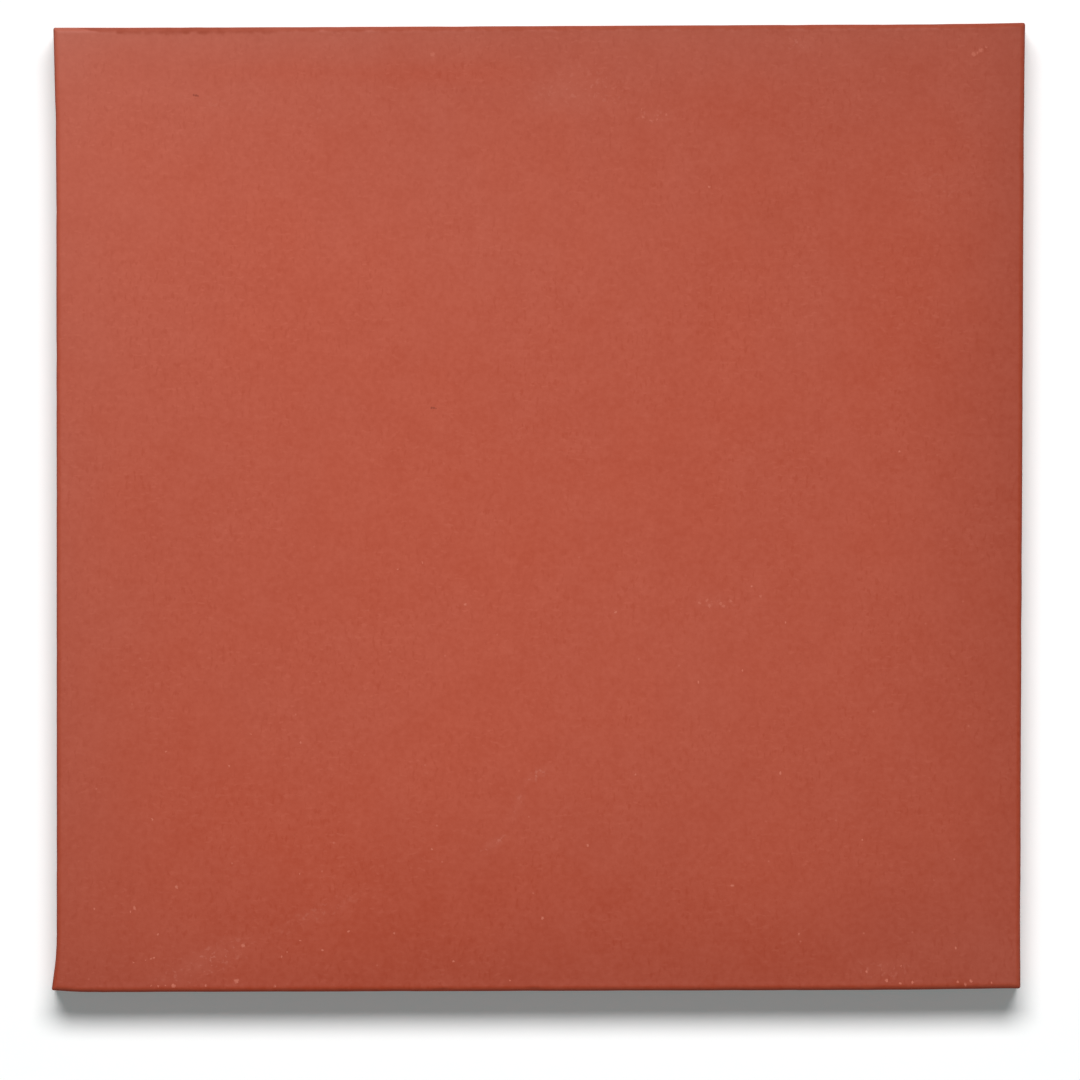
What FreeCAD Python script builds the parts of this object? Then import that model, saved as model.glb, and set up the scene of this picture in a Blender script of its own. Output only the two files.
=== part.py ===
"""Terracotta floor tile: one pressed and fired clay slab, wear face up, keyed back down.

Millimetres. The origin is the middle of the back, +Z goes up through the wear face,
X runs across the tile and Y along it.
"""
import FreeCAD, Part

import os
from FreeCAD import Vector

# Size of the slab
FACE_WIDTH = 200.0       # wear face along X, the size the tile is sold by
FACE_LENGTH = 200.0      # wear face along Y
THICKNESS = 16.0         # back to wear face
SIDE_DRAFT = 0.2         # how far each side leans in from the wear face down to the back

# Edges
ARRIS_RADIUS = 1.1       # round-over where the wear face meets the sides
BACK_ARRIS_RADIUS = 0.3  # round-over where the back meets the sides
CORNER_RADIUS = 0.45     # upright corners, seen in plan

# How the kiln left the outline. Each corner is shifted (along X, along Y) from the true rectangle.
REAR_LEFT_SHIFT = (-0.3, -0.8)
REAR_RIGHT_SHIFT = (0.8, 0.2)
FRONT_RIGHT_SHIFT = (-0.2, 0.4)
FRONT_LEFT_SHIFT = (-0.6, 0.0)

# Each edge runs straight between two flares that carry it to its corners: how far a flare goes out,
# and over what length. Above 0 it leaves the edge hollow beside the corner, and below 0 full.
LEFT_EDGE_REAR_FLARE = (0.7, 38.0)
LEFT_EDGE_FRONT_FLARE = (1.0, 12.0)
RIGHT_EDGE_REAR_FLARE = (0.15, 30.0)
RIGHT_EDGE_FRONT_FLARE = (0.1, 30.0)
REAR_EDGE_LEFT_FLARE = (0.1, 30.0)
REAR_EDGE_RIGHT_FLARE = (0.2, 30.0)
FRONT_EDGE_LEFT_FLARE = (-0.4, 10.0)
FRONT_EDGE_RIGHT_FLARE = (-0.3, 45.0)

# Recesses pressed into the back, which key it to its bed
KEY_WIDTH = 14.0         # mouth of a recess, along X
KEY_LAND = 8.0           # rib left between two recesses
KEY_DEPTH = 1.5
KEY_DRAFT = 0.6          # how far a recess narrows, each side, from mouth to floor
KEY_CORNER_RADIUS = 4.0  # plan corners of a recess at its mouth
KEY_RIM = 14.0           # least width of the plain rim round the recesses


def tangent_arc(start, heading, end):
    """The arc that leaves start in that heading, which has length 1, and ends at end."""
    reach = end - start
    departure = reach - heading * reach.dot(heading)
    # the way to the arc's middle turns half as far from the heading as the way to its end
    middle = start + (heading + departure / (reach.Length + reach.dot(heading))) * (reach.Length / 2)
    return Part.Arc(start, middle, end).toShape()


def flared_edge(start, end, first_flare, last_flare, outward):
    """Edges from corner to corner: a flare arc, a straight run and a second flare arc, all tangent."""
    chord = (end - start).normalize()
    first_out, first_length = first_flare
    last_out, last_length = last_flare
    run_start = start + chord * first_length - outward * first_out
    run_end = end - chord * last_length - outward * last_out
    along = (run_end - run_start).normalize()
    return [
        tangent_arc(run_start, -along, start),
        Part.LineSegment(run_start, run_end).toShape(),
        tangent_arc(run_end, along, end),
    ]


def outline(inset, height):
    """Closed outline of the slab at that height, moved in by inset from the wear face's.

    It is an outline with sharp corners, grown by the corner radius.
    """
    half_width = FACE_WIDTH / 2 - inset - CORNER_RADIUS
    half_length = FACE_LENGTH / 2 - inset - CORNER_RADIUS

    def corner(side_x, side_y, shift):
        return Vector(side_x * half_width + shift[0], side_y * half_length + shift[1], height)

    rear_left = corner(-1, 1, REAR_LEFT_SHIFT)
    rear_right = corner(1, 1, REAR_RIGHT_SHIFT)
    front_right = corner(1, -1, FRONT_RIGHT_SHIFT)
    front_left = corner(-1, -1, FRONT_LEFT_SHIFT)
    front = front_left, front_right, FRONT_EDGE_LEFT_FLARE, FRONT_EDGE_RIGHT_FLARE, Vector(0, -1, 0)
    right = front_right, rear_right, RIGHT_EDGE_FRONT_FLARE, RIGHT_EDGE_REAR_FLARE, Vector(1, 0, 0)
    rear = rear_right, rear_left, REAR_EDGE_RIGHT_FLARE, REAR_EDGE_LEFT_FLARE, Vector(0, 1, 0)
    left = rear_left, front_left, LEFT_EDGE_REAR_FLARE, LEFT_EDGE_FRONT_FLARE, Vector(-1, 0, 0)
    sharp = Part.Wire([edge for side in (front, right, rear, left) for edge in flared_edge(*side)])
    return sharp.makeOffset2D(CORNER_RADIUS)


def face_at(slab, height):
    """The flat face of the slab at that height."""

    def distance(face):
        return abs(face.BoundBox.ZMin - height) + abs(face.BoundBox.ZMax - height)

    return min(slab.Faces, key=distance)


def pressed_slab():
    """The slab as it leaves the press: drafted sides, soft upright corners, rounded arrises."""
    slab = Part.makeLoft([outline(SIDE_DRAFT, 0), outline(0, THICKNESS)], True, True)
    slab = slab.makeFillet(ARRIS_RADIUS, face_at(slab, THICKNESS).Edges)
    return slab.makeFillet(BACK_ARRIS_RADIUS, face_at(slab, 0).Edges)


def rounded_rectangle(width, length, radius, middle_x, height):
    """Closed outline at that height, centred at middle_x: a smaller rectangle grown by the corner radius."""
    core_width = width - 2 * radius
    core_length = length - 2 * radius
    first_corner = Vector(middle_x - core_width / 2, -core_length / 2, height)
    core = Part.makePlane(core_width, core_length, first_corner)
    return core.OuterWire.makeOffset2D(radius)


def key_recess(middle_x):
    """One recess, as the solid to cut away: its mouth lies in the back, and it narrows up to its floor."""
    length = FACE_LENGTH - 2 * KEY_RIM
    floor_width = KEY_WIDTH - 2 * KEY_DRAFT
    floor_length = length - 2 * KEY_DRAFT
    mouth = rounded_rectangle(KEY_WIDTH, length, KEY_CORNER_RADIUS, middle_x, 0)
    floor = rounded_rectangle(floor_width, floor_length, KEY_CORNER_RADIUS - KEY_DRAFT, middle_x, KEY_DEPTH)
    return Part.makeLoft([mouth, floor], True, True)


def key_pattern():
    """As many recesses side by side as the rim leaves room for, centred on the back."""
    pitch = KEY_WIDTH + KEY_LAND
    count = int((FACE_WIDTH - 2 * KEY_RIM + KEY_LAND) / pitch)
    first = -(count - 1) * pitch / 2
    return [key_recess(first + index * pitch) for index in range(count)]


def tile():
    """The whole tile, centred on its own bounding box so that the origin is the middle of the back."""
    solid = pressed_slab().cut(key_pattern()).Solids[0]
    box = solid.optimalBoundingBox()
    solid.translate(Vector(-box.Center.x, -box.Center.y, -box.ZMin))
    return solid


os.makedirs("parts", exist_ok=True)
shape = tile()
shape.exportStep("parts/tile.step")
print("valid", shape.isValid(), "solids", len(shape.Solids), "faces", len(shape.Faces))
print("volume cm3", round(shape.Volume / 1000, 2), "box", shape.optimalBoundingBox())
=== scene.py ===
"""Looks of a terracotta floor tile: a pressed and fired clay slab lying on a white studio floor.

Lengths are millimetres up to the point where a mesh, lamp or camera takes them in metres. The frame
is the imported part's: the origin is the middle of the back, +Z goes up through the wear face, and +Y
points to the edge at the top of the picture. That edge is called the rear, and the others follow.
"""

import math

import bmesh
import bpy
import numpy as np
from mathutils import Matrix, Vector, noise


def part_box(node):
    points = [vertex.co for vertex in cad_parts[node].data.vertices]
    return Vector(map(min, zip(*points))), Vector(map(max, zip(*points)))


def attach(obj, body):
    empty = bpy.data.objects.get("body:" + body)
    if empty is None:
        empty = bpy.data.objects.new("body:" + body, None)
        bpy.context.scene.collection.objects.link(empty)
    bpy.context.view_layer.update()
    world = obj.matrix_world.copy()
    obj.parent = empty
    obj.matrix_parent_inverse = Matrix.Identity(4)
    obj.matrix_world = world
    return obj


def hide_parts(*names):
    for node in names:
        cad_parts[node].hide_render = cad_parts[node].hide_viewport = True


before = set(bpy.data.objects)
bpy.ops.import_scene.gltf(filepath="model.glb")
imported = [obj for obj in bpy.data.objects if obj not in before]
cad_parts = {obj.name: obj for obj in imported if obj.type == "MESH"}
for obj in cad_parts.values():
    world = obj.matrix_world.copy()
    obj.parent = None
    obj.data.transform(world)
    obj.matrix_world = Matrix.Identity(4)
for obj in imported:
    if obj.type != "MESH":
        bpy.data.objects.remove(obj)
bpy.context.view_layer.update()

MM = 0.001  # one millimetre in metres

# Sizes of the slab: the outer ones come from the frame, and the rest repeat the part's own
tile_low, tile_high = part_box("tile")
HALF_WIDTH = (tile_high.x - tile_low.x) / 2 / MM
HALF_LENGTH = (tile_high.y - tile_low.y) / 2 / MM
THICKNESS = (tile_high.z - tile_low.z) / MM
ARRIS_RADIUS = 1.1
BACK_ARRIS_RADIUS = 0.3
CORNER_RADIUS = 0.45
SIDE_DRAFT = 0.2
KEY_COUNT = 8
KEY_WIDTH = 14.0
KEY_LENGTH = 172.0
KEY_LAND = 8.0
KEY_DEPTH = 1.5
KEY_CORNER_RADIUS = 4.0
KEY_LIP = 0.35            # how far outside a recess's mouth its pressed lip starts
KEY_FOOT = 0.95           # how far inside the mouth the recess reaches its full depth

# Fineness of the mesh
FACE_STEP = 0.9           # between lattice lines in the middle of the wear face
BEHIND_ARRIS = (0.4, 0.9, 1.6, 2.4)  # lattice lines that lead from the arris to those even steps
BACK_STEP = 3.0           # between lattice lines along a recess
KEY_LAND_LINE = 1.2       # from a recess's mouth out to the first lattice line on its land
KEY_WALL_STEPS = 5
KEY_FLOOR_LINES = (2.2, 3.6, 5.2)  # lattice lines on the floor of a recess, in from its mouth
ARRIS_STEPS = 6
BACK_ARRIS_STEPS = 3
SIDE_ROWS = 12
RIM_INSETS = (1.0, 2.5)   # loops on the back's rim, in from its arris

# Reading the outline off the CAD solid
EDGE_DEPTH = 3.0          # how deep an edge's strip is, and how far past its last points it runs on
EDGE_SLACK = 0.03         # allowed when the points of an upright corner are left out
EDGE_BAND = ARRIS_RADIUS / 4  # how far above or below the arris's foot its points are looked for

# Finishes of the clay, as each vertex carries them. Values between two of them blend those two
WEAR_FACE, SIDE, BACK = 0, 1, 2

# Relief of the clay: depths, and the size of the lumps. All of it lies inside the true form
FACE_WAVE_DEPTH, FACE_WAVE_SIZE = 0.10, 38.0
FACE_RIPPLE_DEPTH, FACE_RIPPLE_SIZE = 0.02, 6.0
ARRIS_BAND = 2.2          # how far from the arris its wear reaches
ARRIS_WEAR_DEPTH, ARRIS_WEAR_SIZE = 0.09, 7.0
NIBBLE_DEPTH, NIBBLE_SIZE, NIBBLE_RARITY = 0.30, 2.6, 0.42
NIBBLE_INSET = 0.5        # how far in from the outline the nibbles have their full depth
SIDE_LUMP_DEPTH, SIDE_LUMP_SIZE = 0.12, 7.0
SIDE_DRAG_DEPTH, SIDE_DRAG_SIZE = 0.06, 2.2
SIDE_DRAG_LENGTH = 7      # how many times longer a drag mark is than it is wide
PIT_DEPTH, PIT_SIZE, PIT_RARITY = 0.35, 2.8, 0.48
HOLLOW_STEEPNESS = 2      # of nibbles and pits: how soon they reach their full depth
BACK_LUMP_DEPTH, BACK_LUMP_SIZE = 0.14, 11.0


class Shell:
    """Vertices and faces of one closed mesh as it grows. Each vertex has its place, its inset from the
    outline where it is on the wear face, its finish, and its place once its face is laid out flat."""

    def __init__(self):
        self.places = []
        self.insets = []
        self.finishes = []
        self.spreads = []
        self.faces = []

    def add(self, places, insets, finish, spreads):
        """Adds vertices of one finish and returns their numbers."""
        first = len(self.places)
        self.places.extend(places)
        self.insets.extend(insets)
        self.finishes.extend([finish] * len(places))
        self.spreads.extend(spreads)
        return np.arange(first, len(self.places))

    def lattice(self, numbers):
        """Quads between the rows and columns of an array of vertex numbers."""
        corners = (numbers[:-1, :-1], numbers[1:, :-1], numbers[1:, 1:], numbers[:-1, 1:])
        self.faces.extend(np.stack(corners, axis=-1).reshape(-1, 4).tolist())

    def bridge(self, first, second):
        """Quads between two closed loops of as many vertices."""
        corners = (first, np.roll(first, -1), np.roll(second, -1), second)
        self.faces.extend(np.stack(corners, axis=-1).tolist())

    def stitch(self, outer, inner):
        """Triangles between two closed loops that start side by side but differ in their vertices."""
        outer_done, inner_done = 0, 0
        while outer_done < len(outer) or inner_done < len(inner):
            here, across = outer[outer_done % len(outer)], inner[inner_done % len(inner)]
            onward = outer[(outer_done + 1) % len(outer)]
            across_onward = inner[(inner_done + 1) % len(inner)]
            outer_step = math.dist(self.places[onward], self.places[across])
            inner_step = math.dist(self.places[here], self.places[across_onward])
            if inner_done == len(inner) or (outer_done < len(outer) and outer_step < inner_step):
                self.faces.append([here, onward, across])
                outer_done += 1
            else:
                self.faces.append([here, across_onward, across])
                inner_done += 1


def rim_of(numbers):
    """The outer vertices of a lattice as a loop, starting at its front left corner."""
    return np.concatenate([numbers[:-1, 0], numbers[-1, :-1], numbers[:0:-1, -1], numbers[0, :0:-1]])


def eased(share):
    """Smooth step from 0 to 1 as share goes from 0 to 1."""
    share = np.clip(share, 0, 1)
    return share * share * (3 - 2 * share)


def spanned(near_edge, half, step):
    """Lattice lines from -half to half: the given insets at both ends, and even steps between them."""
    inner = half - near_edge[-1]
    middle = np.linspace(-inner, inner, round(2 * inner / step) + 1)
    start = near_edge[:-1] - half
    return np.concatenate([start, middle, -start[::-1]])


def rounded(inset_x, inset_y, reach):
    """Insets of lattice points once the square corners of their rings are rounded over that reach."""
    ring = np.minimum(inset_x, inset_y)
    offset = np.abs(inset_x - inset_y)
    share = np.divide(offset, reach, out=np.ones_like(offset), where=reach > offset)
    angle = math.radians(45) * (1 - share)
    near = ring + reach * (1 - np.cos(angle))
    far = np.where(offset < reach, ring + reach * (1 - np.sin(angle)), ring + offset)
    x_is_near = inset_x <= inset_y
    return np.where(x_is_near, near, far), np.where(x_is_near, far, near)


def unrolled(place, inset):
    """Places along one axis with the curve of the arris laid out flat."""
    drop = np.clip(ARRIS_RADIUS - inset, 0, ARRIS_RADIUS)
    return place + np.sign(place) * (ARRIS_RADIUS * np.arcsin(drop / ARRIS_RADIUS) - drop)


def add_wear_face(shell):
    """The wear face with its rounded arris, as one lattice. Returns its outer loop."""
    angles = np.linspace(math.pi / 2, 0, ARRIS_STEPS + 1)
    arris = ARRIS_RADIUS * (1 - np.sin(angles))
    near_edge = np.concatenate([arris, ARRIS_RADIUS + np.array(BEHIND_ARRIS)])
    lines_x = spanned(near_edge, HALF_WIDTH, FACE_STEP)
    lines_y = spanned(near_edge, HALF_LENGTH, FACE_STEP)
    x, y = np.meshgrid(lines_x, lines_y, indexing="ij")
    inset_x, inset_y = HALF_WIDTH - np.abs(x), HALF_LENGTH - np.abs(y)
    ring = np.minimum(inset_x, inset_y)
    round_x, round_y = rounded(inset_x, inset_y, np.maximum(CORNER_RADIUS - ring, 0))
    drop = np.maximum(ARRIS_RADIUS - ring, 0)
    places = np.stack([
        np.sign(x) * (HALF_WIDTH - round_x),
        np.sign(y) * (HALF_LENGTH - round_y),
        THICKNESS - ARRIS_RADIUS + np.sqrt(ARRIS_RADIUS ** 2 - drop ** 2),
    ], axis=-1)
    spreads = np.stack([unrolled(x, inset_x), unrolled(y, inset_y)], axis=-1)
    numbers = shell.add(places.reshape(-1, 3), ring.reshape(-1), WEAR_FACE, spreads.reshape(-1, 2))
    numbers = numbers.reshape(x.shape)
    shell.lattice(numbers)
    return rim_of(numbers)


def add_sides(shell, top_loop):
    """The drafted sides, the back's arris and the start of the back's rim. Returns the last loop."""
    heights = np.linspace(THICKNESS - ARRIS_RADIUS, BACK_ARRIS_RADIUS, SIDE_ROWS + 1)[1:]
    angles = np.linspace(0, math.pi / 2, BACK_ARRIS_STEPS + 1)[1:]
    foot = SIDE_DRAFT + BACK_ARRIS_RADIUS * (1 - np.cos(angles))
    rows = [(height, SIDE_DRAFT * (1 - height / THICKNESS), SIDE) for height in heights]
    rows += [(BACK_ARRIS_RADIUS * (1 - math.sin(angle)), inset, SIDE) for angle, inset in zip(angles, foot)]
    rows += [(0.0, foot[-1] + inset, BACK) for inset in RIM_INSETS]
    outline = np.array([shell.places[number] for number in top_loop])
    loop = top_loop
    for height, inset, finish in rows:
        narrowing = np.array([1 - inset / HALF_WIDTH, 1 - inset / HALF_LENGTH, 0])
        places = outline * narrowing + np.array([0, 0, height])
        lower = shell.add(places, np.zeros(len(loop)), finish, places[:, :2])
        shell.bridge(loop, lower)
        loop = lower
    return loop


def add_back(shell, rim_loop):
    """The keyed back as a lattice whose lines follow the recesses, joined to the rim around it."""
    pitch = KEY_WIDTH + KEY_LAND
    half_mouth = KEY_WIDTH / 2
    land = np.array([-KEY_LAND / 2, -KEY_LAND / 4, -KEY_LAND_LINE])
    wall = np.linspace(-KEY_LIP, KEY_FOOT, KEY_WALL_STEPS + 1)
    from_mouth = np.concatenate([land, wall, KEY_FLOOR_LINES])
    half_cell = half_mouth - np.append(from_mouth, half_mouth)
    cell = np.concatenate([-half_cell, half_cell[-2::-1]])
    first = -(KEY_COUNT - 1) * pitch / 2
    lines_x = np.concatenate([first + index * pitch + cell[:-1] for index in range(KEY_COUNT)])
    lines_x = np.append(lines_x, first + (KEY_COUNT - 1) * pitch + cell[-1])
    lines_y = spanned(from_mouth - land[0], KEY_LENGTH / 2 - land[0], BACK_STEP)
    x, y = np.meshgrid(lines_x, lines_y, indexing="ij")
    middle = first + pitch * np.clip(np.round((x - first) / pitch), 0, KEY_COUNT - 1)
    inset_x, inset_y = half_mouth - np.abs(x - middle), KEY_LENGTH / 2 - np.abs(y)
    ring = np.minimum(inset_x, inset_y)
    fade = np.clip(1 + ring / (KEY_LAND / 2), 0, 1)
    reach = np.where(ring > 0, np.maximum(KEY_CORNER_RADIUS - ring, 0), KEY_CORNER_RADIUS * fade)
    round_x, round_y = rounded(inset_x, inset_y, reach)
    places = np.stack([
        middle + np.sign(x - middle) * (half_mouth - round_x),
        np.sign(y) * (KEY_LENGTH / 2 - round_y),
        KEY_DEPTH * eased((ring + KEY_LIP) / (KEY_FOOT + KEY_LIP)),
    ], axis=-1).reshape(-1, 3)
    numbers = shell.add(places, np.zeros(len(places)), BACK, places[:, :2]).reshape(x.shape)
    shell.lattice(numbers)
    shell.stitch(rim_loop, rim_of(numbers))


def cad_edge(axis, side):
    """One side of the CAD outline, just under its arris: places along it, and where it stands there."""
    points = np.array([vertex.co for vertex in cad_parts["tile"].data.vertices]) / MM
    half = HALF_WIDTH if axis == 0 else HALF_LENGTH
    under_arris = np.abs(points[:, 2] - (THICKNESS - ARRIS_RADIUS)) < EDGE_BAND
    chosen = points[under_arris & (points[:, axis] * side > half - EDGE_DEPTH)]
    chosen = chosen[np.argsort(chosen[:, 1 - axis])]
    along, stand = chosen[:, 1 - axis], chosen[:, axis]
    # the upright corners are left out, and the edge runs straight on past its last points there
    clear = np.minimum(along - along[0], along[-1] - along) > CORNER_RADIUS - EDGE_SLACK
    along, stand = along[clear], stand[clear]
    before, after = np.interp([along[0] + EDGE_DEPTH, along[-1] - EDGE_DEPTH], along, stand)
    along = np.concatenate([[along[0] - EDGE_DEPTH], along, [along[-1] + EDGE_DEPTH]])
    stand = np.concatenate([[2 * stand[0] - before], stand, [2 * stand[-1] - after]])
    return along, stand


def bowed(points):
    """Points of a straight-sided slab moved to the outline that the kiln left, as the CAD solid has it."""
    x, y = points[:, 0], points[:, 1]
    front, rear = np.interp(x, *cad_edge(1, -1)), np.interp(x, *cad_edge(1, 1))
    new_y = front + (rear - front) * (y / HALF_LENGTH + 1) / 2
    left, right = np.interp(new_y, *cad_edge(0, -1)), np.interp(new_y, *cad_edge(0, 1))
    new_x = left + (right - left) * (x / HALF_WIDTH + 1) / 2
    return np.stack([new_x, new_y, points[:, 2]], axis=-1)


def lumps(points, size):
    """Smooth noise from about -1 to 1 at each point, with lumps of about that size."""
    return np.array([noise.noise(Vector(point) / size) for point in points])


def hollows(points, size, rarity):
    """0 over most of the surface, rising to 1 in the middle of scattered hollows of about that size."""
    return eased((lumps(points, size) - rarity) / (1 - rarity) * HOLLOW_STEEPNESS)


def sunk(points, insets, finishes):
    """How far each point of the slab lies inside the true form."""
    face = FACE_WAVE_DEPTH * (1 + lumps(points, FACE_WAVE_SIZE)) / 2
    face += FACE_RIPPLE_DEPTH * (1 + lumps(points, FACE_RIPPLE_SIZE)) / 2
    side = SIDE_LUMP_DEPTH * (1 + lumps(points, SIDE_LUMP_SIZE)) / 2
    drawn = points * np.array([1, 1, 1 / SIDE_DRAG_LENGTH])
    side += SIDE_DRAG_DEPTH * (1 + lumps(drawn, SIDE_DRAG_SIZE)) / 2
    side += PIT_DEPTH * hollows(points, PIT_SIZE, PIT_RARITY)
    back = BACK_LUMP_DEPTH * (1 + lumps(points, BACK_LUMP_SIZE)) / 2
    depth = np.choose(finishes, [face * eased(insets / ARRIS_BAND), side, back])
    below_arris = THICKNESS - ARRIS_RADIUS - points[:, 2]
    from_arris = np.where(finishes == WEAR_FACE, insets, below_arris)
    worn = ARRIS_WEAR_DEPTH * np.maximum(lumps(points, ARRIS_WEAR_SIZE), 0)
    on_top = np.where(finishes == WEAR_FACE, eased(insets / NIBBLE_INSET), 0)
    worn += on_top * NIBBLE_DEPTH * hollows(points, NIBBLE_SIZE, NIBBLE_RARITY)
    return depth + worn * (1 - eased(from_arris / ARRIS_BAND))


# Painted shade of the light on the wear face: darker toward the edges and the right, and brighter toward the
# rear. Each edge is shaded: how far in that reaches, and the share of light lost at its two ends, the left
# or front one first
ACROSS_PAINTED_SHADE = 0.11       # how much darker the right edge is than the middle
ALONG_PAINTED_LIGHT = 0.046       # how much brighter the rear edge is than the middle
LEFT_SHADE = 120.0, 0.22, 0.09
RIGHT_SHADE = 40.0, 0.10, 0.19
REAR_SHADE = 90.0, 0.14, 0.15
FRONT_SHADE = 70.0, 0.24, 0.14
SHADE_MERGE = 3           # where two shades meet: 1 adds them up, and more keeps the stronger

# The pale bloom, which along the rear and left edges also paints the sheen of the light: its share all over,
# and at each edge its share and the distance over which that falls to about a third. The front and right
# edges are cleaner than the middle
REST_BLOOM = 0.075
FRONT_BLOOM = -0.07, 20.0
REAR_BLOOM_AND_SHEEN = 0.12, 22.0
REAR_RIM_BLOOM = 0.12, 3.0
LEFT_BLOOM_AND_SHEEN = 0.11, 34.0
RIGHT_BLOOM = -0.05, 40.0
CORNER_BLOOM = 0.13, 14.0  # at the front right corner
REAR_BLOOM_AND_SHEEN_FADE = 0.45    # how much of the rear bloom and painted sheen is gone at its right end
LEFT_BLOOM_AND_SHEEN_FADE = 0.60    # how much of the left bloom and painted sheen is gone at its front end

# The dark line along each arris, painted shade of its rounded edge: its width and its strength. At the rear
# it sets in a little way from the left corner, and grows thinner and weaker further on
LEFT_LINE = 0.30, 0.35
RIGHT_LINE = 0.25, 0.45
FRONT_LINE = 0.55, 0.60
REAR_LINE = 1.20, 0.70
REAR_LINE_START = -98.0, -87.0
REAR_LINE_FADES = -66.0, -44.0
THIN_LINE = 0.1           # width of the rear line before it sets in
REAR_WIDTH_LOSS = 0.25    # how much of its width is gone where it has faded
REAR_STRENGTH_LOSS = 0.40  # how much of its strength is gone there

# Patches on the wear face: middle, half size, turn in degrees and strength. A streak takes away some of
# the edges' bloom and painted sheen. A bloom cloud is paler and greyer, or browner where it is below 0, and
# a tone cloud is lighter, or darker where it is below 0. A scuff leaves crumbs of rubbed clay
CLEAN_STREAKS = [
    ((-22.0, 90.4), (30.0, 4.6), 0, 0.75),
    ((-52.0, 90.8), (28.0, 3.2), 0, 0.40),
]
BLOOM_CLOUDS = [
    ((-4.0, -95.0), (80.0, 34.0), 0, -0.05),
    ((8.0, -88.0), (30.0, 22.0), 0, -0.03),
    ((45.0, 66.0), (16.0, 10.0), -35, -0.02),
    ((-14.0, 90.4), (20.0, 4.0), 0, -0.020),
    ((41.0, 83.0), (20.0, 12.0), 0, -0.055),
    ((5.0, 85.5), (12.0, 6.0), 0, 0.040),
    ((-55.0, -76.0), (50.0, 38.0), 0, -0.04),
    ((-14.0, 60.0), (60.0, 30.0), 0, 0.032),
    ((84.0, -94.0), (26.0, 18.0), 0, 0.03),
    ((-85.0, 0.0), (30.0, 22.0), 0, -0.03),
    ((-76.0, -42.0), (38.0, 50.0), 0, -0.025),
    ((55.0, 38.0), (13.0, 28.0), 0, 0.035),
    ((-58.0, -42.0), (24.0, 14.0), -45, 0.03),
    ((34.0, -40.0), (13.0, 24.0), 0, 0.025),
    ((100.0, 78.0), (28.0, 55.0), 0, 0.025),
]
TONE_CLOUDS = [
    ((-8.0, 32.0), (70.0, 32.0), 0, -0.018),
    ((48.0, 60.0), (10.0, 9.0), -35, -0.04),
    ((50.0, -74.0), (34.0, 22.0), 0, 0.04),
]
SCUFFS = [
    ((9.0, 87.0), (18.0, 8.0), 0, 0.35),
    ((53.6, 96.2), (6.0, 2.5), 0, 0.45),
    ((23.2, 81.5), (6.0, 3.0), 0, 0.40),
    ((-45.9, 81.9), (5.0, 2.5), 10, 0.30),
    ((-65.0, 84.0), (18.0, 3.0), -8, 0.20),
    ((36.7, -19.6), (7.0, 2.6), -5, 0.25),
    ((-0.2, -55.2), (5.0, 1.6), 30, 0.65),
    ((-9.5, -69.7), (5.0, 1.6), 35, 0.65),
    ((-4.3, -61.4), (7.0, 1.6), 75, 0.40),
    ((-46.0, -84.0), (16.0, 3.0), 25, 0.35),
    ((-69.0, -94.0), (16.0, 5.0), 24, 0.55),
    ((72.0, -96.0), (10.0, 4.0), 0, 0.40),
    ((82.0, 66.0), (14.0, 10.0), 0, 0.20),
]


def patches(x, y, places):
    """The sum of some oval patches at each point, each fading from its middle to nothing at its rim."""
    total = np.zeros(len(x))
    for (middle_x, middle_y), (half_along, half_across), turn, strength in places:
        cosine, sine = math.cos(math.radians(turn)), math.sin(math.radians(turn))
        along = ((x - middle_x) * cosine + (y - middle_y) * sine) / half_along
        across = ((y - middle_y) * cosine - (x - middle_x) * sine) / half_across
        total += strength * eased(1 - np.hypot(along, across))
    return total


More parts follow.
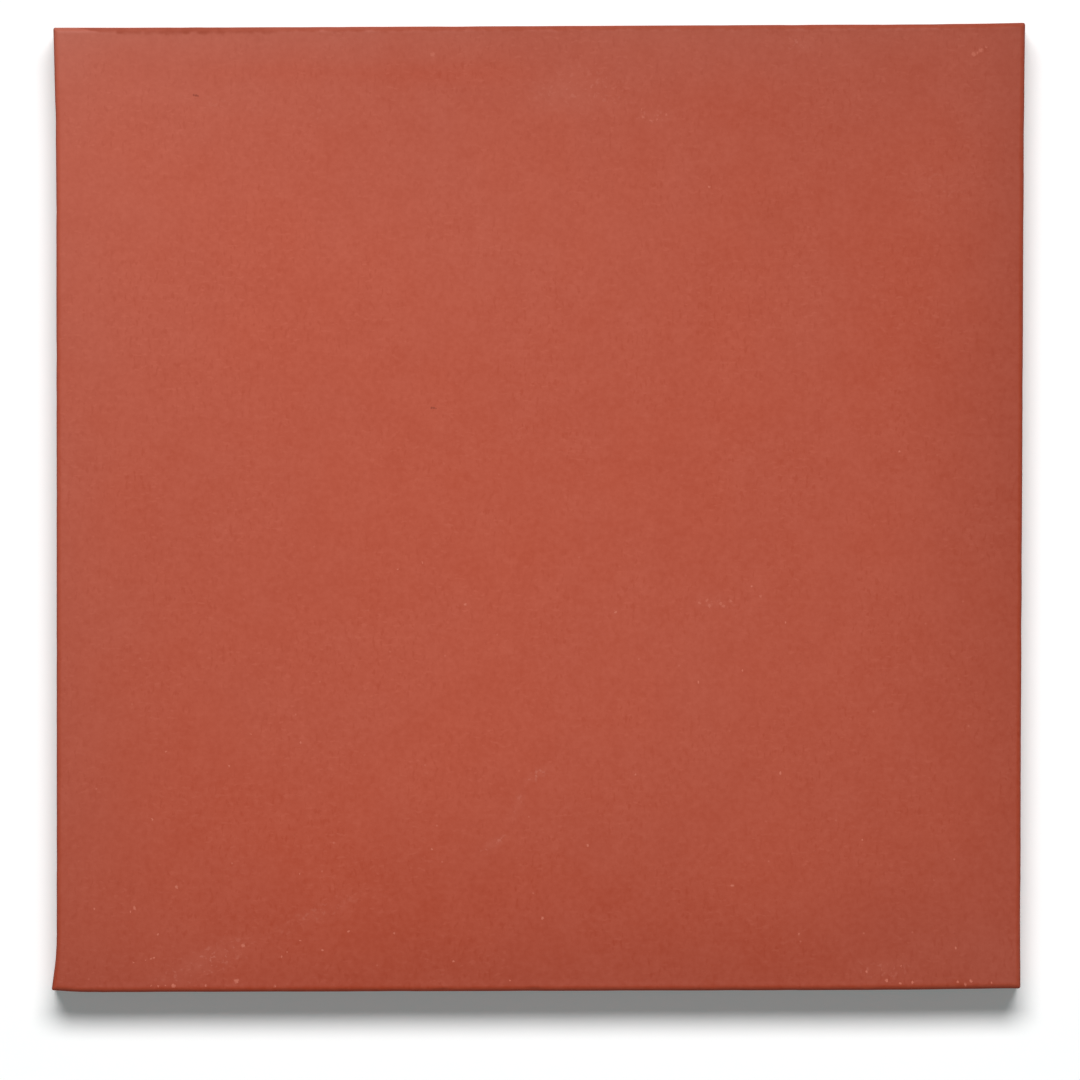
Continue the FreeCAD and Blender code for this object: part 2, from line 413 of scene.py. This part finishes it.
def wear_masks(points):
    """Numbers for each point of the straight-sided slab's wear face, by name: the clay's own marks, painted
    shade of the light, the bloom with its painted sheen, and painted shade along the arrises.
    """
    x, y = points[:, 0], points[:, 1]
    from_left, from_right = x + HALF_WIDTH, HALF_WIDTH - x
    from_front, from_rear = y + HALF_LENGTH, HALF_LENGTH - y

    def shade(distance, along, values):
        reach, first_loss, last_loss = values
        loss = first_loss + (last_loss - first_loss) * along
        return loss * np.clip(1 - distance / reach, 0, 1) ** 2

    def passing(place, stretch):
        start, end = stretch
        return eased((place - start) / (end - start))

    def bloomed(distance, bloom_and_sheen):
        share, fall = bloom_and_sheen
        return share * np.exp(-distance / fall)

    across, along = from_left / (2 * HALF_WIDTH), from_front / (2 * HALF_LENGTH)
    shades = [
        shade(from_left, along, LEFT_SHADE),
        shade(from_right, along, RIGHT_SHADE),
        shade(from_front, across, FRONT_SHADE),
        shade(from_rear, across, REAR_SHADE),
    ]
    # painted shade: the fall of the light over the wear face, darker toward the edges and the right,
    # brighter toward the rear
    loss = sum(one ** SHADE_MERGE for one in shades) ** (1 / SHADE_MERGE)
    drift = (1 - ACROSS_PAINTED_SHADE * x / HALF_WIDTH) * (1 + ALONG_PAINTED_LIGHT * y / HALF_LENGTH)
    # the pale bloom; along the rear and left edges it also paints the sheen of the light
    bloom_and_sheen = bloomed(from_rear, REAR_BLOOM_AND_SHEEN) + bloomed(from_rear, REAR_RIM_BLOOM)
    bloom_and_sheen *= 1 - REAR_BLOOM_AND_SHEEN_FADE * across
    bloom_and_sheen += bloomed(from_left, LEFT_BLOOM_AND_SHEEN) * (1 - LEFT_BLOOM_AND_SHEEN_FADE * (1 - along))
    bloom_and_sheen += bloomed(from_right, RIGHT_BLOOM) + bloomed(np.hypot(from_right, from_front), CORNER_BLOOM)
    bloom_and_sheen += bloomed(from_front, FRONT_BLOOM)
    bloom_and_sheen *= 1 - patches(x, y, CLEAN_STREAKS)
    bloom_and_sheen += REST_BLOOM + patches(x, y, BLOOM_CLOUDS)
    faded = passing(x, REAR_LINE_FADES)
    rear_width = REAR_LINE[0] * passing(x, REAR_LINE_START) * (1 - REAR_WIDTH_LOSS * faded)
    rear_width = np.maximum(rear_width, THIN_LINE)
    rear_strength = REAR_LINE[1] * (1 - REAR_STRENGTH_LOSS * faded)
    widths = LEFT_LINE[0], RIGHT_LINE[0], FRONT_LINE[0], rear_width
    strengths = LEFT_LINE[1], RIGHT_LINE[1], FRONT_LINE[1], rear_strength
    distances = from_left, from_right, from_front, from_rear
    lines = np.stack([distance / width for distance, width in zip(distances, widths)])
    return {
        "rim": lines.min(axis=0),
        # the strength of the painted shade along each arris
        "arris_shade": np.choose(lines.argmin(axis=0), strengths),
        # painted shade of the light, times the clay's own lighter and darker tone clouds
        "painted_shade_and_tone": (1 - loss) * drift * (1 + patches(x, y, TONE_CLOUDS)),
        # pale bloom of the clay, with painted sheen along the rear and left edges
        "bloom_and_sheen": np.maximum(bloom_and_sheen, 0),
        "scuff": patches(x, y, SCUFFS),
    }


# Layout of the UV map that colours can be drawn on, as shares of its width
MAP_FACE = 0.70           # the wear face, which shows most
MAP_BACK = 0.28
MAP_GAP = 0.006
MAP_SPAN = 204.0          # what the face and the back each take in, with the arris laid flat


def lay_out_map(mesh, shell):
    """A UV map: the wear face large, the four sides in strips behind it, and the back small beside it."""
    corner_vertex = np.array([corner.vertex_index for corner in mesh.loops])
    face_of_corner = np.repeat(np.arange(len(mesh.polygons)), [face.loop_total for face in mesh.polygons])
    finishes = np.array(shell.finishes)
    kind = np.array([finishes[list(face.vertices)].max() for face in mesh.polygons])[face_of_corner]
    middles = np.array([face.center for face in mesh.polygons])[face_of_corner] / MM
    places = np.array(shell.places)[corner_vertex]
    flat = np.array(shell.spreads)[corner_vertex] / MAP_SPAN + 0.5
    faces_x = np.abs(middles[:, 0]) / HALF_WIDTH > np.abs(middles[:, 1]) / HALF_LENGTH
    along = np.where(faces_x, places[:, 1], places[:, 0]) / MAP_SPAN + 0.5
    outward = np.where(faces_x, middles[:, 0], middles[:, 1])
    strip = 2 * faces_x + (outward > 0)
    strip_height = MAP_FACE * THICKNESS / MAP_SPAN + MAP_GAP
    up = MAP_FACE * (1 + places[:, 2] / MAP_SPAN) + MAP_GAP + strip * strip_height
    on_sides = np.stack([along * MAP_FACE, up], axis=-1)
    on_back = flat * MAP_BACK + np.array([MAP_FACE + MAP_GAP, 0])
    chosen = np.where((kind == BACK)[:, None], on_back, flat * MAP_FACE)
    chosen = np.where((kind == SIDE)[:, None], on_sides, chosen)
    layer = mesh.uv_layers.new(name="OFBake")
    layer.data.foreach_set("uv", (chosen + MAP_GAP / 2).astype(np.float32).reshape(-1))


def keep_values(mesh, name, values):
    """Stores one number for each vertex under a name that the material reads."""
    mesh.attributes.new(name, "FLOAT", "POINT").data.foreach_set("value", np.asarray(values, np.float32))


def tile_piece():
    """The whole tile as one closed mesh, with its relief and its marks."""
    shell = Shell()
    top_loop = add_wear_face(shell)
    rim_loop = add_sides(shell, top_loop)
    add_back(shell, rim_loop)
    straight = np.array(shell.places)
    points = bowed(straight)
    insets, finishes = np.array(shell.insets), np.array(shell.finishes)
    mesh = bpy.data.meshes.new("terracotta_tile")
    mesh.from_pydata((points * MM).tolist(), [], shell.faces)
    turned = bmesh.new()
    turned.from_mesh(mesh)
    bmesh.ops.recalc_face_normals(turned, faces=turned.faces)
    turned.to_mesh(mesh)
    turned.free()
    outwards = np.array([vertex.normal for vertex in mesh.vertices])
    points -= outwards * sunk(points, insets, finishes)[:, None]
    mesh.vertices.foreach_set("co", (points * MM).astype(np.float32).reshape(-1))
    mesh.update()
    mesh.shade_smooth()
    keep_values(mesh, "finish", finishes)
    for name, values in wear_masks(straight).items():
        keep_values(mesh, name, values)
    lay_out_map(mesh, shell)
    made = bpy.data.objects.new("terracotta_tile", mesh)
    bpy.context.scene.collection.objects.link(made)
    return made


class Graph:
    """Short words for building a node tree. Apart from node, each method returns the output it makes."""

    # The mix node's sockets for a share and two colours, and for the colour that comes out
    MIX_SHARE, MIX_FIRST, MIX_SECOND = 0, 6, 7
    MIX_RESULT = 2

    def __init__(self, tree):
        self.tree = tree
        tree.nodes.clear()

    def node(self, kind, inputs, **settings):
        """A node with those settings and inputs. An input is a value, or the output that feeds it."""
        made = self.tree.nodes.new(kind)
        for name, value in settings.items():
            setattr(made, name, value)
        for name, value in inputs.items():
            if isinstance(value, bpy.types.NodeSocket):
                self.tree.links.new(value, made.inputs[name])
            else:
                made.inputs[name].default_value = value
        return made

    def math(self, operation, *values):
        """A sum or the like of numbers."""
        return self.node("ShaderNodeMath", dict(enumerate(values)), operation=operation).outputs[0]

    def vector(self, operation, first, second):
        """A sum or the like of two vectors or colours."""
        inputs = {0: first, 1: second}
        return self.node("ShaderNodeVectorMath", inputs, operation=operation).outputs["Vector"]

    def scaled(self, vector, factor):
        """A vector or colour times a number."""
        inputs = {"Vector": vector, "Scale": factor}
        return self.node("ShaderNodeVectorMath", inputs, operation="SCALE").outputs["Vector"]

    def distance(self, first, second):
        """How far two places are apart."""
        inputs = {0: first, 1: second}
        return self.node("ShaderNodeVectorMath", inputs, operation="DISTANCE").outputs["Value"]

    def part(self, place, axis):
        """Where a place lies along one axis."""
        return self.node("ShaderNodeSeparateXYZ", {"Vector": place}).outputs[axis]

    def stored(self, name):
        """A number that each vertex of the mesh carries."""
        return self.node("ShaderNodeAttribute", {}, attribute_name=name).outputs["Fac"]

    def noise(self, place, size, detail=2):
        """Noise about 0.5, with lumps of about that size in millimetres and finer ones on them."""
        inputs = {"Vector": place, "Scale": 1 / size, "Detail": detail}
        return self.node("ShaderNodeTexNoise", inputs).outputs[0]

    def spread(self, value, low, high):
        """Turns 0 to 1 into low to high."""
        inputs = {"Value": value, "To Min": low, "To Max": high}
        return self.node("ShaderNodeMapRange", inputs).outputs[0]

    def step(self, value, start, end):
        """Smooth step: 0 up to start and 1 from end on. It falls where end is below start."""
        inputs = {"Value": value, "From Min": start, "From Max": end}
        return self.node("ShaderNodeMapRange", inputs, interpolation_type="SMOOTHSTEP").outputs[0]

    def drawn(self, cells):
        """A number from 0 to 1, drawn anew for each cell. A cell's colour is also its middle's shift, which
        would tie the draw to where the surface cuts the cell."""
        return self.node("ShaderNodeTexWhiteNoise", {"Vector": cells.outputs["Color"]}).outputs["Value"]

    def weighed(self, *layers):
        """0.5, and what each noise departs from 0.5, times its weight."""
        total = 0.5 - sum(weight for _, weight in layers) / 2
        for layer, weight in layers:
            total = self.math("MULTIPLY_ADD", layer, weight, total)
        return total

    def mix(self, share, first, second):
        """One colour going over into another."""
        inputs = {self.MIX_SHARE: share, self.MIX_FIRST: first, self.MIX_SECOND: second}
        return self.node("ShaderNodeMix", inputs, data_type="RGBA").outputs[self.MIX_RESULT]


# Colours of the clay
DEEP_CLAY = (0.418, 0.0522, 0.0165, 1)
PALE_CLAY = (0.468, 0.0752, 0.0337, 1)
STROKE_DARK_CLAY = (0.397, 0.0437, 0.0105, 1)
STROKE_PALE_CLAY = (0.490, 0.0852, 0.0410, 1)
OCHRE_TINT = (1.005, 0.993, 0.965, 1)
PINK_TINT = (0.995, 1.007, 1.035, 1)
BLOOM_AND_SHEEN_CLAY = (0.484, 0.194, 0.145, 1)
ARRIS_SHADE_CLAY = (0.290, 0.051, 0.025, 1)
SCUFF_CLAY = (0.520, 0.155, 0.105, 1)
SPECK_CLAY = (0.580, 0.165, 0.105, 1)
PINHOLE_CLAY = (0.270, 0.043, 0.019, 1)
SIDE_DEEP_CLAY = (0.37, 0.062, 0.029, 1)
SIDE_PALE_CLAY = (0.48, 0.100, 0.052, 1)
SAND = (0.62, 0.280, 0.180, 1)
DARK_GRAIN = (0.20, 0.036, 0.020, 1)
BACK_DEEP_CLAY = (0.38, 0.085, 0.045, 1)
BACK_DUST = (0.56, 0.230, 0.150, 1)

# Pattern of the wear face's clay: the size of its lumps, and how strongly they show. A step gives the
# noise at which a mark begins and is full
MOTTLES = [(45.0, 0.55), (6.0, 0.8), (1.2, 1.6)]
TINT_SIZE, TINT_STEP = 27.0, (0.3, 0.7)
STROKE_SIZE = 0.8
UPRIGHT_STRETCH, UPRIGHT_STEP = (1, 0.45, 1), (0.56, 0.72)
LEVEL_STRETCH, LEVEL_STEP = (0.5, 1, 1), (0.58, 0.74)
STROKE_PATCH_SIZE, STROKE_PATCH_STEP = 11.0, (0.35, 0.65)
STROKE_SHARE = 0.20, 0.68  # of the strokes in the clearest and the busiest patches

# Marks on that clay
BLOOM_CLOUD_SIZE, BLOOM_CLOUD_SHARE = 13.0, (0.85, 1.15)
RUB_SIZE, RUB_SHARE = 3.0, (0.0, 0.4)
CRUMB_SIZE, CRUMB_STEP = 0.9, (0.53, 0.70)
LINE_WANDER_SIZE, LINE_WANDER = 1.7, (-0.8, 0.8)  # of the border of the dark line, in widths of it
LINE_BORDER = 1.45, 0.55  # where the line ends and where it is full, in widths
LINE_PATCH_SIZE, LINE_PATCH_SHARE = 4.0, (0.4, 1.3)
RAGGED_SCALE = 2.6        # lumps per millimetre in the noise that makes specks and pinholes ragged
SPECK_RAGGEDNESS, PINHOLE_RAGGEDNESS = 0.7, 0.3
MARK_BORDER = 1.3, 0.5    # where a speck or pinhole ends and where it is full, in radii
SPECK_SHARE, FAINT_SHARE = 0.72, 0.4

# Small specks strewn over the wear face, stronger in front: their spacing and radius, and the stretch of
# Y over which their share grows
STRAY_SPACING, STRAY_RADIUS = 14.0, 0.2
STRAY_STRETCH, STRAY_SHARE = (40.0, -60.0), (0.12, 0.4)
STRAY_BORDER = 1.6, 0.4   # where one ends and where it is full, in radii
STRAY_DRAW = 0.2, 1.0     # the draws that make the weakest and the strongest

# Sides and back
DRAG_STRETCH, DRAG_SIZE, DRAG_SHARE = (0.07, 0.07, 1), 1.3, 0.7
SIDE_CLOUD_SIZE, SIDE_CLOUD_SHARE = 14.0, 0.9
SIDE_GRAIN_SIZE, SIDE_GRAIN_SHARE = 0.8, 1.5
SAND_SPACING = 1.1
SAND_BORDER = 0.30, 0.15  # where a grain ends and where it is full, in spacings
SAND_DRAW, DARK_GRAIN_DRAW = (0.72, 1.1), (0.25, 0.0)
DUST_HEIGHT, DUST_SHARE = (0.1, 1.2), (-0.15, 0.2)  # where a recess turns dusty, and by how much
BACK_CLOUD_SIZE, BACK_CLOUD_SHARE = 11.0, 1.6
BACK_GRAIN_SIZE, BACK_GRAIN_SHARE = 1.1, 1.0

# Surface: roughness of the wear face from patch to patch, of the sides and of the dark line, and the
# bump in millimetres
WEAR_ROUGHNESS, WEAR_ROUGHNESS_SIZE = (0.46, 0.62), 8.0
SIDE_ROUGHNESS = 0.86
LINE_ROUGHNESS = 0.9
SHINE = 0.2               # how strongly the clay mirrors, where 0.5 is usual
FINE_BUMP_SIZE, FINE_BUMP = 0.45, 0.012
SANDY_BUMP_SIZE, SANDY_BUMP = 0.7, 0.13
DRAG_BUMP = 0.10

# Grains and chips of paler clay that show on the wear face: where, and their radius
SPECKS = [
    (-74.9, -78.5, 0.35), (-83.5, -82.8, 0.34), (-91.9, -83.0, 0.22), (-78.7, -88.2, 0.20),
    (-61.1, -90.6, 0.38), (-75.5, -98.9, 0.42), (-68.9, -98.8, 0.25), (-62.4, -97.9, 0.50),
    (86.3, -91.1, 0.25), (75.0, -94.8, 0.21), (67.9, -96.0, 0.27), (72.0, -97.8, 0.35),
    (74.8, -98.4, 0.25), (77.3, -98.2, 0.28), (86.7, -98.1, 0.24), (88.3, -98.7, 0.33),
    (89.4, -97.9, 0.32), (93.7, -98.3, 0.21), (0.8, -84.9, 0.25), (-17.7, -93.9, 0.24),
    (-5.8, -97.8, 0.21), (-15.1, -20.0, 0.28), (-84.4, -83.6, 0.24), (-83.8, -94.1, 0.20),
    (-81.2, -93.6, 0.19), (-80.1, -93.3, 0.22), (-79.5, -93.1, 0.20), (-64.0, -53.4, 0.24),
    (-39.2, -87.6, 0.24), (-29.8, -88.1, 0.28), (-44.6, -91.5, 0.24), (50.0, -54.9, 0.24),
    (40.1, -78.2, 0.25), (20.0, -55.3, 0.24), (15.9, -21.6, 0.26), (35.3, 66.3, 0.20),
    (74.6, 11.6, 0.25), (10.1, -69.9, 0.24), (-22.0, -70.7, 0.22), (53.9, -88.3, 0.22),
    (67.0, -68.8, 0.19), (-49.4, -75.8, 0.20), (-49.3, -89.5, 0.19), (-52.1, -91.9, 0.19),
    (-53.1, -92.9, 0.18), (-54.5, -99.0, 0.23), (-79.9, -64.5, 0.21), (-59.4, -46.9, 0.22),
    (-77.1, -50.5, 0.19), (-49.2, -48.6, 0.22), (-24.0, -11.4, 0.17), (-29.2, -12.8, 0.18),
    (-77.2, -98.9, 0.18), (-78.6, -99.0, 0.16), (-80.1, -98.9, 0.16), (44.1, -16.3, 0.22),
    (51.2, -23.8, 0.20), (33.1, -36.1, 0.24), (42.2, -33.7, 0.18),
]
FAINT_SPECKS = [
    (90.0, 93.8, 0.48), (91.4, 94.6, 0.48), (90.8, 94.0, 0.25), (92.6, 95.2, 0.25),
    (-21.9, 93.7, 0.50), (33.3, -19.7, 0.32), (34.9, -19.2, 0.38), (35.3, -20.3, 0.40),
    (37.7, -19.9, 0.32), (38.2, -20.4, 0.36), (39.7, -19.3, 0.36), (45.9, -18.3, 0.34),
    (21.6, 80.7, 0.28), (26.4, 81.2, 0.28), (23.2, 80.0, 0.26), (21.3, 82.3, 0.24),
    (24.5, 80.3, 0.22),
]
PINHOLES = [
    (-71.3, 85.3, 0.24), (-70.8, 85.2, 0.24), (-70.4, 85.1, 0.20),
    (-22.1, 20.6, 0.22), (-21.6, 20.6, 0.24), (-21.2, 20.5, 0.16),
]


def strokes(graph, place, stretch, step):
    """1 on short strokes, and 0 between them."""
    stretched = graph.vector("MULTIPLY", place, stretch)
    return graph.step(graph.noise(stretched, STROKE_SIZE, detail=1), *step)


def fired_clay(graph, place):
    """The wear face's own colour: soft mottling, a drift from ochre to pink, and fine, crisp strokes."""
    shade = graph.weighed(*[(graph.noise(place, size), weight) for size, weight in MOTTLES])
    tint = graph.mix(graph.step(graph.noise(place, TINT_SIZE, detail=1), *TINT_STEP), OCHRE_TINT, PINK_TINT)
    clay = graph.vector("MULTIPLY", graph.mix(shade, DEEP_CLAY, PALE_CLAY), tint)
    patchy = graph.step(graph.noise(place, STROKE_PATCH_SIZE), *STROKE_PATCH_STEP)
    patchy = graph.spread(patchy, *STROKE_SHARE)
    upright = strokes(graph, place, UPRIGHT_STRETCH, UPRIGHT_STEP)
    level = strokes(graph, place, LEVEL_STRETCH, LEVEL_STEP)
    clay = graph.mix(graph.math("MULTIPLY", upright, patchy), clay, STROKE_DARK_CLAY)
    return graph.mix(graph.math("MULTIPLY", level, patchy), clay, STROKE_PALE_CLAY)


def stray_specks(graph, place):
    """Strength of the small specks strewn over the wear face: each has its own, and it is 0 between them."""
    inputs = {"Vector": place, "Scale": 1 / STRAY_SPACING}
    cells = graph.node("ShaderNodeTexVoronoi", inputs, voronoi_dimensions="2D")
    border = [radii * STRAY_RADIUS / STRAY_SPACING for radii in STRAY_BORDER]
    spot = graph.step(cells.outputs["Distance"], *border)
    spot = graph.math("MULTIPLY", spot, graph.step(graph.drawn(cells), *STRAY_DRAW))
    share = graph.spread(graph.step(graph.part(place, "Y"), *STRAY_STRETCH), *STRAY_SHARE)
    return graph.math("MULTIPLY", spot, share)


def marks(graph, place, spots, raggedness):
    """1 in the middle of each spot on the wear face, fading to 0 round it."""
    inputs = {"Vector": place, "Scale": RAGGED_SCALE, "Detail": 1}
    ragged = graph.node("ShaderNodeTexNoise", inputs).outputs["Color"]
    shift = graph.scaled(graph.vector("SUBTRACT", ragged, (0.5, 0.5, 0.5)), raggedness)
    flat = graph.vector("MULTIPLY", graph.vector("ADD", place, shift), (1, 1, 0))
    strongest = 0.0
    for x, y, radius in spots:
        border = [radii * radius for radii in MARK_BORDER]
        mark = graph.step(graph.distance(flat, (x, y, 0)), *border)
        strongest = graph.math("MAXIMUM", strongest, mark)
    return strongest


def specks(graph, place):
    """All the pale specks of the wear face: those at known places, and those strewn between them."""
    clear = graph.math("MULTIPLY", marks(graph, place, SPECKS, SPECK_RAGGEDNESS), SPECK_SHARE)
    faint = graph.math("MULTIPLY", marks(graph, place, FAINT_SPECKS, SPECK_RAGGEDNESS), FAINT_SHARE)
    return graph.math("MAXIMUM", clear, graph.math("MAXIMUM", faint, stray_specks(graph, place)))


def arris_line(graph, place):
    """Strength of the painted shade along the arrises, a dark line: patchy, with a wandering border, and 0
    inside it.
    """
    wander = graph.spread(graph.noise(place, LINE_WANDER_SIZE, detail=3), *LINE_WANDER)
    line = graph.step(graph.math("ADD", graph.stored("rim"), wander), *LINE_BORDER)
    return graph.math("MULTIPLY", line, graph.spread(graph.noise(place, LINE_PATCH_SIZE), *LINE_PATCH_SHARE))


def wear_colour(graph, place, line):
    """Colour of the wear face, from the clay up to the marks on it, with painted shade and sheen of the
    light and painted shade along the arrises.
    """
    clay = fired_clay(graph, place)
    clouds = graph.spread(graph.noise(place, BLOOM_CLOUD_SIZE, detail=3), *BLOOM_CLOUD_SHARE)
    # pale bloom of the clay, with painted sheen of the light along the rear and left edges
    clay = graph.mix(graph.math("MULTIPLY", graph.stored("bloom_and_sheen"), clouds), clay, BLOOM_AND_SHEEN_CLAY)
    # painted shade: the fall of the light over the face, with the clay's own tone clouds
    clay = graph.scaled(clay, graph.stored("painted_shade_and_tone"))
    rubbed = graph.spread(graph.noise(place, RUB_SIZE), *RUB_SHARE)
    crumbs = graph.step(graph.noise(place, CRUMB_SIZE), *CRUMB_STEP)
    scuff = graph.math("MULTIPLY", graph.stored("scuff"), graph.math("MAXIMUM", rubbed, crumbs))
    clay = graph.mix(scuff, clay, SCUFF_CLAY)
    # painted shade: the dark line along the arrises, strongest at the rear and front
    clay = graph.mix(graph.math("MULTIPLY", line, graph.stored("arris_shade")), clay, ARRIS_SHADE_CLAY)
    clay = graph.mix(specks(graph, place), clay, SPECK_CLAY)
    return graph.mix(marks(graph, place, PINHOLES, PINHOLE_RAGGEDNESS), clay, PINHOLE_CLAY)


def drawn_out(graph, place):
    """Noise drawn out along the sides, as the clay was dragged."""
    return graph.noise(graph.vector("MULTIPLY", place, DRAG_STRETCH), DRAG_SIZE, detail=3)


def side_colour(graph, place):
    """Colour of the sides: sandy, drawn out along the edge and unevenly fired."""
    shade = graph.weighed(
        (graph.noise(place, SIDE_CLOUD_SIZE), SIDE_CLOUD_SHARE),
        (drawn_out(graph, place), DRAG_SHARE),
        (graph.noise(place, SIDE_GRAIN_SIZE, detail=3), SIDE_GRAIN_SHARE),
    )
    clay = graph.mix(shade, SIDE_DEEP_CLAY, SIDE_PALE_CLAY)
    cells = graph.node("ShaderNodeTexVoronoi", {"Vector": place, "Scale": 1 / SAND_SPACING})
    grain = graph.step(cells.outputs["Distance"], *SAND_BORDER)
    chance = graph.drawn(cells)
    clay = graph.mix(graph.math("MULTIPLY", grain, graph.step(chance, *SAND_DRAW)), clay, SAND)
    return graph.mix(graph.math("MULTIPLY", grain, graph.step(chance, *DARK_GRAIN_DRAW)), clay, DARK_GRAIN)


def back_colour(graph, place):
    """Colour of the back: dusty in its recesses, cleaner on the ribs that were handled."""
    dust = graph.spread(graph.step(graph.part(place, "Z"), *DUST_HEIGHT), *DUST_SHARE)
    shade = graph.weighed(
        (graph.noise(place, BACK_CLOUD_SIZE, detail=3), BACK_CLOUD_SHARE),
        (graph.noise(place, BACK_GRAIN_SIZE), BACK_GRAIN_SHARE),
    )
    return graph.mix(graph.math("ADD", shade, dust), BACK_DEEP_CLAY, BACK_DUST)


def clay_roughness(graph, place, on_sides, line):
    """Roughness: satin on the wear face, matt on the dark line, the sides and the back."""
    satin = graph.spread(graph.noise(place, WEAR_ROUGHNESS_SIZE, detail=3), *WEAR_ROUGHNESS)
    more_on_sides = SIDE_ROUGHNESS - sum(WEAR_ROUGHNESS) / 2
    return graph.spread(line, graph.math("MULTIPLY_ADD", on_sides, more_on_sides, satin), LINE_ROUGHNESS)


def clay_bump(graph, place, on_sides):
    """Normals of the finest relief: a close grain on the wear face, and sand and drag marks elsewhere."""
    fine = graph.math("MULTIPLY", graph.noise(place, FINE_BUMP_SIZE), FINE_BUMP)
    sandy = graph.math("MULTIPLY", graph.noise(place, SANDY_BUMP_SIZE, detail=3), SANDY_BUMP)
    rough = graph.math("MULTIPLY_ADD", drawn_out(graph, place), DRAG_BUMP, sandy)
    height = graph.math("MULTIPLY_ADD", rough, on_sides, fine)
    return graph.node("ShaderNodeBump", {"Height": height, "Distance": MM}).outputs[0]


def terracotta():
    """Fired clay: a close, satin wear face, and sandy, matt sides and back."""
    material = bpy.data.materials.new("terracotta")
    material.use_nodes = True
    graph = Graph(material.node_tree)
    place = graph.scaled(graph.node("ShaderNodeTexCoord", {}).outputs["Object"], 1 / MM)
    finish = graph.stored("finish")
    on_sides = graph.math("MINIMUM", finish, SIDE)
    on_back = graph.math("MAXIMUM", graph.math("SUBTRACT", finish, SIDE), 0)
    line = arris_line(graph, place)
    colour = graph.mix(on_sides, wear_colour(graph, place, line), side_colour(graph, place))
    inputs = {
        "Base Color": graph.mix(on_back, colour, back_colour(graph, place)),
        "Roughness": clay_roughness(graph, place, on_sides, line),
        "Specular IOR Level": SHINE,
        "Normal": clay_bump(graph, place, on_sides),
    }
    shader = graph.node("ShaderNodeBsdfPrincipled", inputs)
    graph.node("ShaderNodeOutputMaterial", {"Surface": shader.outputs[0]})
    return material


def background_rays(graph):
    """1 for rays that see the set itself or its reflection, and 0 for rays that only gather light."""
    path = graph.node("ShaderNodeLightPath", {})
    seen = graph.math("MAXIMUM", path.outputs["Is Camera Ray"], path.outputs["Is Glossy Ray"])
    return graph.math("MAXIMUM", seen, path.outputs["Is Transmission Ray"])


# The set
FLOOR_REACH = 6000.0
FLOOR_COLOUR = (0.893, 0.882, 0.882, 1)
FLOOR_LIFT = 0.184        # light that the floor adds for the eye alone, so that the page is white
FLOOR_LIFT_COLOUR = (0.82, 1.0, 1.0, 1)  # a little cool, against the warm light that the clay throws on it
AMBIENT = 0.08


def studio_floor():
    """A plain white floor that keeps the tile's shadow."""
    reach = FLOOR_REACH * MM
    corners = [(-reach, -reach, 0), (reach, -reach, 0), (reach, reach, 0), (-reach, reach, 0)]
    mesh = bpy.data.meshes.new("floor")
    mesh.from_pydata(corners, [], [(0, 1, 2, 3)])
    material = bpy.data.materials.new("floor")
    material.use_nodes = True
    graph = Graph(material.node_tree)
    diffuse = graph.node("ShaderNodeBsdfDiffuse", {"Color": FLOOR_COLOUR})
    strength = graph.math("MULTIPLY", background_rays(graph), FLOOR_LIFT)
    lift = graph.node("ShaderNodeEmission", {"Color": FLOOR_LIFT_COLOUR, "Strength": strength})
    both = graph.node("ShaderNodeAddShader", {0: diffuse.outputs[0], 1: lift.outputs[0]})
    graph.node("ShaderNodeOutputMaterial", {"Surface": both.outputs[0]})
    mesh.materials.append(material)
    floor = bpy.data.objects.new("floor", mesh)
    bpy.context.scene.collection.objects.link(floor)


def studio_world():
    """Even white surroundings: a little light on the set, and plain white where they are seen."""
    world = bpy.data.worlds.new("studio")
    world.use_nodes = True
    graph = Graph(world.node_tree)
    level = graph.spread(background_rays(graph), AMBIENT, 1.0)
    background = graph.node("ShaderNodeBackground", {"Strength": level})
    graph.node("ShaderNodeOutputWorld", {"Surface": background.outputs[0]})
    bpy.context.scene.world = world


# The lamp: a soft oval panel above the rear of the tile
LAMP_TILT = math.radians(24.3)
LAMP_DISTANCE = 5000.0
LAMP_LEVEL = 0.95         # what it adds to a white floor in the middle
LAMP_HALF_ACROSS = math.radians(15.5)  # half its width and length, as the tile sees them
LAMP_HALF_ALONG = math.radians(9.5)


def lamp():
    """The key light."""
    distance = LAMP_DISTANCE * MM
    light = bpy.data.lights.new("lamp", "AREA")
    light.shape = "ELLIPSE"
    light.size = 2 * distance * math.tan(LAMP_HALF_ACROSS)
    light.size_y = 2 * distance * math.tan(LAMP_HALF_ALONG)
    light.energy = LAMP_LEVEL * math.pi ** 2 * distance ** 2 / math.cos(LAMP_TILT)
    made = bpy.data.objects.new("lamp", light)
    made.location = (0, distance * math.sin(LAMP_TILT), distance * math.cos(LAMP_TILT) + THICKNESS * MM)
    made.rotation_euler = (-LAMP_TILT, 0, 0)
    bpy.context.scene.collection.objects.link(made)


# The camera looks straight down on the wear face
FRAME_WIDTH = 223.35      # what the picture takes in at the wear face
CAMERA_HEIGHT = 6000.0    # above the wear face
CAMERA_MIDDLE = (0.31, -6.72)
SENSOR_WIDTH = 36.0


def camera():
    """The camera, with the lens that fits the frame from its height."""
    data = bpy.data.cameras.new("camera")
    data.sensor_width = SENSOR_WIDTH
    data.lens = SENSOR_WIDTH * CAMERA_HEIGHT / FRAME_WIDTH
    made = bpy.data.objects.new("camera", data)
    made.location = Vector((*CAMERA_MIDDLE, THICKNESS + CAMERA_HEIGHT)) * MM
    bpy.context.scene.collection.objects.link(made)
    bpy.context.scene.camera = made


tile = tile_piece()
tile.data.materials.append(terracotta())
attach(tile, "root")
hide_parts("tile")
studio_floor()
studio_world()
lamp()
camera()
bpy.context.scene.view_settings.view_transform = "Standard"
